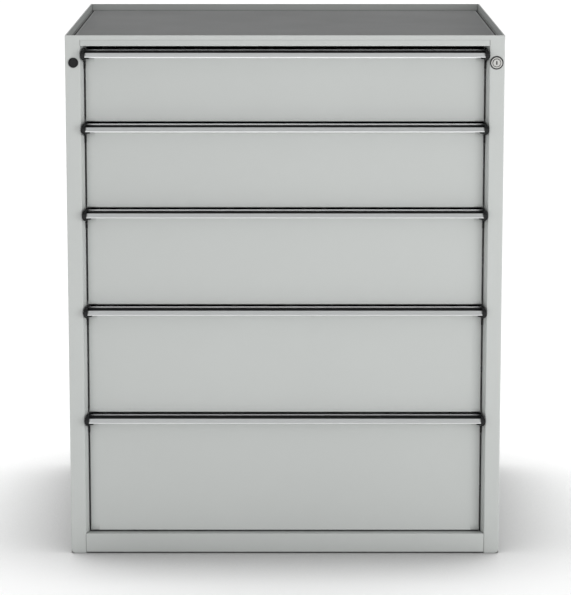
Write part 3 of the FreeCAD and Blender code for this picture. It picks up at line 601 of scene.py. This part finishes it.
def makeTongues(values):
    root, reach = values["root"], values["reach"]
    for number in drawerNumbers:
        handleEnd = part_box("drawer_%d_handle" % number)[1]
        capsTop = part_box("drawer_%d_end_caps" % number)[1].z
        tip = handleEnd.x - values["length"]
        outline = [(handleEnd.x, root), (handleEnd.x, reach), (handleEnd.x - values["blunt"], reach),
                   (tip, root + values["shoulder"]), (tip, root)]
        parts = [extruded(outline, capsTop - values["low"], capsTop - values["high"],
                          lambda along, a, b: (side * a, handleEnd.y - b, along)) for side in (-1, 1)]
        piece = pieceFrom("lipTongues%d" % number, parts)
        cleaned(piece.data, piece.data)
        bevelled(piece, values["rounding"])
        finishPiece(piece, "drawer_%d" % number, "black_plastic")
    print("tongues under the lips")


# Black ring under the lock's flange, a dark piece standing in for the shade round its edge, and the raised
# bead
# of the blind plug: sections in millimetres, each point a radius and how far it stands out of the post
postTrim = {
    "flangeShadeRing": ((11.8, 0.05), (13.4, 0.05), (13.4, 0.66), (13.0, 1.1), (11.8, 1.1)),
    "bead": ((7.6, 1.9), (9.2, 1.9), (8.8, 2.5), (8.5, 2.7), (8.1, 2.7)),
}


def makePostTrim(values):
    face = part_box("left_side_panel")[0].y
    for name, section, node in (("lockFlangeShadeRing", "flangeShadeRing", "lock_barrel"), ("plugBead", "bead", "post_plug")):
        points = [(radius * mm, out * mm) for radius, out in values[section]]
        finishPiece(turned(name, points, middleOf(node, face)), "cabinet", "black_plastic")
    print("gasket and plug bead")


# Key slot and the dark joint round the turning plug
lockMarks = {
    "slotWide": 2.4 * mm,
    "slotTall": 7.6 * mm,
    "slotDeep": 1.0 * mm,
    "jointInner": 7.7 * mm,
    "jointOuter": 8.7 * mm,
    "jointDeep": 0.5 * mm,
    "proud": 0.12 * mm,      # both stand out by this
}


def makeLockMarks(values):
    centre = middleOf("lock_plug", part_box("lock_plug")[0].y)
    proud = values["proud"]
    half = Vector((values["slotWide"] / 2, 0, values["slotTall"] / 2))
    slot = boxPart(centre - half - Vector((0, proud, 0)), centre + half + Vector((0, values["slotDeep"], 0)))
    finishPiece(pieceFrom("keySlot", [slot]), "lock_core", "black_plastic")
    inner, outer, back = values["jointInner"], values["jointOuter"], -values["jointDeep"]
    joint = turned("plugJoint", [(inner, back), (outer, back), (outer, proud), (inner, proud)],
                   middleOf("lock_plug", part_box("lock_barrel")[0].y))
    finishPiece(joint, "cabinet", "black_plastic")
    print("key slot and plug joint")


# Back panel set in between the flanges, with blind rivets along its edges
rivetedBack = {
    "joint": 0.9 * mm,       # open seam round the panel
    "inset": 0.7 * mm,
    "thick": 0.8 * mm,
    "edgeToRivet": 11.0 * mm,
    "rivetPitch": 75.0 * mm,
    "rivetRadius": 3.4 * mm,
    "rivetTop": 2.04 * mm,
    "rivetHigh": 0.68 * mm,
    "rivetSides": 14,
}


def rivetTree(sizes, material):
    # one rivet head on every point of a rectangle's outline
    group, sizesIn, leave = newNodeGroup("rivetsRoundAPanel", sizes)
    outline = addNode(group, "GeometryNodeCurvePrimitiveQuadrilateral", {"mode": "RECTANGLE"},
                      {"Width": sizesIn["rowWidth"], "Height": sizesIn["rowHeight"]})
    spaced = addNode(group, "GeometryNodeResampleCurve", {"mode": "LENGTH"},
                     {"Curve": outline.outputs[0], "Length": sizesIn["rivetPitch"]})
    head = addNode(group, "GeometryNodeMeshCone",
                   links={"Vertices": sizesIn["rivetSides"], "Radius Top": sizesIn["rivetTop"],
                          "Radius Bottom": sizesIn["rivetRadius"], "Depth": sizesIn["rivetHigh"]})
    heads = placed(group, spaced.outputs[0], head.outputs[0])
    upright = addNode(group, "GeometryNodeTransform",
                      links={"Geometry": heads, "Rotation": (-math.pi / 2, 0.0, 0.0),
                             "Translation": combined(group, y=sizesIn["level"], z=sizesIn["middleHigh"])})
    return closeTree(group, leave, (upright.outputs[0], sizesIn["Geometry"]), material)


def makeBack(values):
    low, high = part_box("back_panel")
    joint = values["joint"]
    far = high.y - values["inset"]
    sheet = boxPart((low.x + joint, far - values["thick"], low.z), (high.x - joint, far, high.z - joint))
    finishPiece(pieceFrom("backSheet", [sheet]), "cabinet", "body_paint", ("back_panel",))
    edge = values["edgeToRivet"]
    sizes = {
        "rowWidth": high.x - low.x - 2 * edge,
        "rowHeight": high.z - low.z - 2 * edge,
        "rivetPitch": values["rivetPitch"],
        "rivetRadius": values["rivetRadius"],
        "rivetTop": values["rivetTop"],
        "rivetHigh": values["rivetHigh"],
        "rivetSides": values["rivetSides"],
        "level": far,
        "middleHigh": (low.z + high.z) / 2,
    }
    rivets = pieceFrom("backRivets", [])
    grown(rivets, rivetTree(sizes, slotMaterials["zinc_steel"]), sizes)
    finishPiece(rivets, "cabinet", "zinc_steel")
    print("back panel with rivets")


# Drawer pans with rows of slots for partitions over the runners
slottedPan = {
    "sheet": 1.5 * mm,
    "hem": 5.0 * mm,
    "slotPitch": 25.0 * mm,
    "slotWidth": 5.0 * mm,
    "slotCount": 26,
    "rowPitch": 36.0 * mm,
    "bridge": 12.0 * mm,     # sheet left between two rows
    "overRail": 4.0 * mm,
    "underHem": 6.0 * mm,
    "lugLow": 86.0 * mm,     # catch that the lock bar holds, over the underside of the pan
    "lugTall": 8.0 * mm,
    "lugNear": 6.0 * mm,
    "lugThick": 3.0 * mm,
}


def slotTree(sizes, material):
    # upright bars with bridges between them, repeated along both side walls
    group, sizesIn, leave = newNodeGroup("slottedWalls", sizes)
    pitch, width, sheet = sizesIn["slotPitch"], sizesIn["slotWidth"], sizesIn["sheet"]
    barSize = combined(group, sheet, calculated(group, "SUBTRACT", pitch, width), sizesIn["bandTall"])
    bar = addNode(group, "GeometryNodeMeshCube", links={"Size": barSize}).outputs[0]
    bridgeSize = combined(group, sheet, width, sizesIn["bridge"])
    bridge = addNode(group, "GeometryNodeMeshCube", links={"Size": bridgeSize}).outputs[0]
    along = combined(group, y=pitch)
    barCount = calculated(group, "ADD", sizesIn["slotCount"], 1.0)
    bars = inRow(group, barCount, combined(group, y=sizesIn["firstBar"], z=sizesIn["bandMiddle"]), along, bar)
    stack = inRow(group, sizesIn["bridgeCount"], combined(group, z=sizesIn["firstBridge"]),
                  combined(group, z=sizesIn["rowPitch"]), bridge)
    firstSlot = calculated(group, "ADD", sizesIn["firstBar"], calculated(group, "MULTIPLY", pitch, 0.5))
    bridges = inRow(group, sizesIn["slotCount"], combined(group, y=firstSlot), along, stack)
    toWall = sizesIn["wallAcross"]
    leftWall = calculated(group, "SUBTRACT", 0.0, toWall)
    apart = calculated(group, "SUBTRACT", toWall, leftWall)
    walls = inRow(group, count=2, start=combined(group, x=leftWall), offset=combined(group, x=apart),
                  instance=joined(group, (bars, bridges)))
    return closeTree(group, leave, (walls, sizesIn["Geometry"]), material)


def makePan(number, values):
    node = "drawer_%d_pan" % number
    low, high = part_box(node)
    sheet, hem = values["sheet"], values["hem"]
    half = -low.x - hem
    inner = half - sheet
    barWidth = values["slotPitch"] - values["slotWidth"]
    wallLength = values["slotCount"] * values["slotPitch"] + barWidth
    bandNear = (low.y + high.y - wallLength) / 2
    bandFar = bandNear + wallLength
    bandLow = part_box("drawer_%d_drawer_rails" % number)[1].z + values["overRail"]
    rows = int((high.z - values["underHem"] - bandLow + values["bridge"]) / values["rowPitch"])
    bandTall = rows * values["rowPitch"] - values["bridge"]
    bandHigh = bandLow + bandTall
    parts = [
        boxPart((-inner, low.y, low.z), (inner, high.y, low.z + sheet)),
        boxPart((-inner, low.y, low.z + sheet), (inner, low.y + sheet, high.z)),
        boxPart((-inner, high.y - sheet, low.z + sheet), (inner, high.y, high.z)),
    ]
    for side in (-1, 1):
        a, b = sorted((side * inner, side * half))
        parts += [
            boxPart((a, low.y, low.z), (b, high.y, bandLow)),
            boxPart((a, low.y, bandHigh), (b, high.y, high.z - sheet)),
            boxPart((a, low.y, bandLow), (b, bandNear, bandHigh)),
            boxPart((a, bandFar, bandLow), (b, high.y, bandHigh)),
        ]
        a, b = sorted((side * inner, side * (half + hem)))
        parts.append(boxPart((a, low.y, high.z - sheet), (b, high.y, high.z)))
    lugLow = low.z + values["lugLow"]
    lugNear = low.y + values["lugNear"]
    parts.append(boxPart((half, lugNear, lugLow),
                         (high.x, lugNear + values["lugThick"], lugLow + values["lugTall"])))
    piece = pieceFrom("slottedPan%d" % number, parts)
    sizes = {
        "sheet": sheet,
        "slotPitch": values["slotPitch"],
        "slotWidth": values["slotWidth"],
        "slotCount": values["slotCount"],
        "bandTall": bandTall,
        "bandMiddle": (bandLow + bandHigh) / 2,
        "firstBar": bandNear + barWidth / 2,
        "bridge": values["bridge"],
        "bridgeCount": rows - 1,
        "firstBridge": bandLow + values["rowPitch"] - values["bridge"] / 2,
        "rowPitch": values["rowPitch"],
        "wallAcross": (inner + half) / 2,
    }
    grown(piece, slotTree(sizes, slotMaterials["inner_paint"]), sizes)
    finishPiece(piece, "drawer_%d" % number, "inner_paint", (node,))
    print("pan", number, "with", rows, "rows of slots")


for number in drawerNumbers:
    body = "drawer_%d" % number
    softened(body + "_front", "roundedFront%d" % number, body, softEdges, frontPaint)
for node in ("header_rail", "bottom_rail"):
    softened(node, node + "Rounded", "cabinet", softEdges)
print("rounded fronts and rails")
makeMat(ribbedMat)
makeTongues(lipTongue)
makePostTrim(postTrim)
makeLockMarks(lockMarks)
makeBack(rivetedBack)
for number in drawerNumbers:
    makePan(number, slottedPan)


stageValues = {
    "floorHalf": 40.0,
    "floorColor": "#F4F4F4",
    "nearColor": "#BDBDBD",      # deepens the contact shadow
    "nearReach": 0.26,
    "nearRange": (0.45, 1.0),    # openness from the near colour to the floor's own
    "roughness": 0.9,
    "specular": 0.1,
}


def makeStage(values):
    half = values["floorHalf"]
    corners = [(-half, -half, 0), (half, -half, 0), (half, half, 0), (-half, half, 0)]
    floor = newObject("studioFloor", meshFrom("studioFloor", corners, [(0, 1, 2, 3)]))
    material, tree, shader = newMaterial("matteStudioFloor")[:3]
    clear = mapped(tree, openness(tree, values["nearReach"]), values["nearRange"])
    tone = mixed(tree, clear, hexColor(values["nearColor"]), hexColor(values["floorColor"]))
    tree.links.new(tone, shader.inputs["Base Color"])
    shader.inputs["Roughness"].default_value = values["roughness"]
    shader.inputs["Specular IOR Level"].default_value = values["specular"]
    floor.data.materials.append(material)
    return floor


lightValues = {
    "skyColor": (1.0, 1.0, 1.0, 1.0),
    "zenith": 0.635,         # strength of the sky straight up, as a light
    "horizon": 0.52,
    "horizonEdge": 0.1,      # the sky has the horizon's strength up to this height on the unit sphere
    "overhead": {"sideways": 0.26, "forwards": -0.22, "strength": 1.025, "spread": 38.0},
    "front": {"place": (0.3, -4.2, 0.35), "aim": (0.1, -0.3, 0.1), "size": (3.4, 1.4), "power": 19.0},
    "right": {"place": (3.4, -2.6, 0.8), "aim": (0.1, -0.3, 0.3), "size": (1.2, 2.0), "power": 44.0},
}


def makeSky(values):
    world = bpy.data.worlds.new("studioSky")
    scene.world = world
    world.use_nodes = True
    tree = world.node_tree
    tree.nodes.clear()
    # the sky is pure white to look at; as a light it is dimmer, and dimmest near the horizon
    upward = separated(tree, addNode(tree, "ShaderNodeTexCoord").outputs["Generated"])["Z"]
    strength = mapped(tree, upward, (values["horizonEdge"], 1.0), (values["horizon"], values["zenith"]))
    lit = addNode(tree, "ShaderNodeBackground", links={"Color": values["skyColor"], "Strength": strength})
    seen = addNode(tree, "ShaderNodeBackground", links={"Color": values["skyColor"], "Strength": 1.0})
    path = addNode(tree, "ShaderNodeLightPath")
    mix = addNode(tree, "ShaderNodeMixShader",
                  links={0: path.outputs["Is Camera Ray"], 1: lit.outputs[0], 2: seen.outputs[0]})
    addNode(tree, "ShaderNodeOutputWorld", links={"Surface": mix.outputs[0]})


def addLamp(name, kind, power, aim, receivers):
    # a lamp that shines along aim and lights only what the collection lets it
    lamp = bpy.data.lights.new(name, kind)
    lamp.energy = power
    holder = newObject(name, lamp)
    holder.rotation_euler = aim.to_track_quat("-Z", "Y").to_euler()
    holder.light_linking.receiver_collection = receivers
    return lamp, holder


def makeLights(values, floor):
    # two wide lights from above, a little behind and to either side, on the floor alone, keep the floor white
    overhead = values["overhead"]
    onFloor = bpy.data.collections.new("floorOnly")
    onFloor.objects.link(floor)
    for side in (-1, 1):
        aim = Vector((side * overhead["sideways"], overhead["forwards"], -1.0))
        lamp = addLamp("overheadDiffuser", "SUN", overhead["strength"], aim, onFloor)[0]
        lamp.angle = math.radians(overhead["spread"])

    # the softboxes light everything but the floor
    offFloor = bpy.data.collections.new("allButTheFloor")
    offFloor.objects.link(floor)
    offFloor.collection_objects[0].light_linking.link_state = "EXCLUDE"
    for name in ("front", "right"):
        setup = values[name]
        aim = Vector(setup["aim"]) - Vector(setup["place"])
        lamp, holder = addLamp(name + "Softbox", "AREA", setup["power"], aim, offFloor)
        lamp.shape = "RECTANGLE"
        lamp.size, lamp.size_y = setup["size"]
        holder.location = setup["place"]


cameraValues = {
    "inFront": 5.5,          # of the post faces
    "height": 1.592,
    "pitch": 9.87,           # degrees down
    "lens": 166.9,           # millimetres, on the sensor's width
    "sensor": 36.0,
    "shift": -0.08,
    "aside": 0.0011,         # right of the middle
    "sightEnd": 100.0,
}


def makeCamera(values):
    data = bpy.data.cameras.new("studioCamera")
    data.lens = values["lens"]
    data.sensor_width = values["sensor"]
    data.shift_y = values["shift"]
    data.clip_end = values["sightEnd"]
    camera = newObject("studioCamera", data)
    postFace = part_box("bottom_rail")[0].y
    camera.location = (values["aside"], postFace - values["inFront"], values["height"])
    camera.rotation_euler = (math.radians(90 - values["pitch"]), 0, 0)
    scene.camera = camera


makeSky(lightValues)
makeLights(lightValues, makeStage(stageValues))
makeCamera(cameraValues)
print("stage, lights and camera are set")
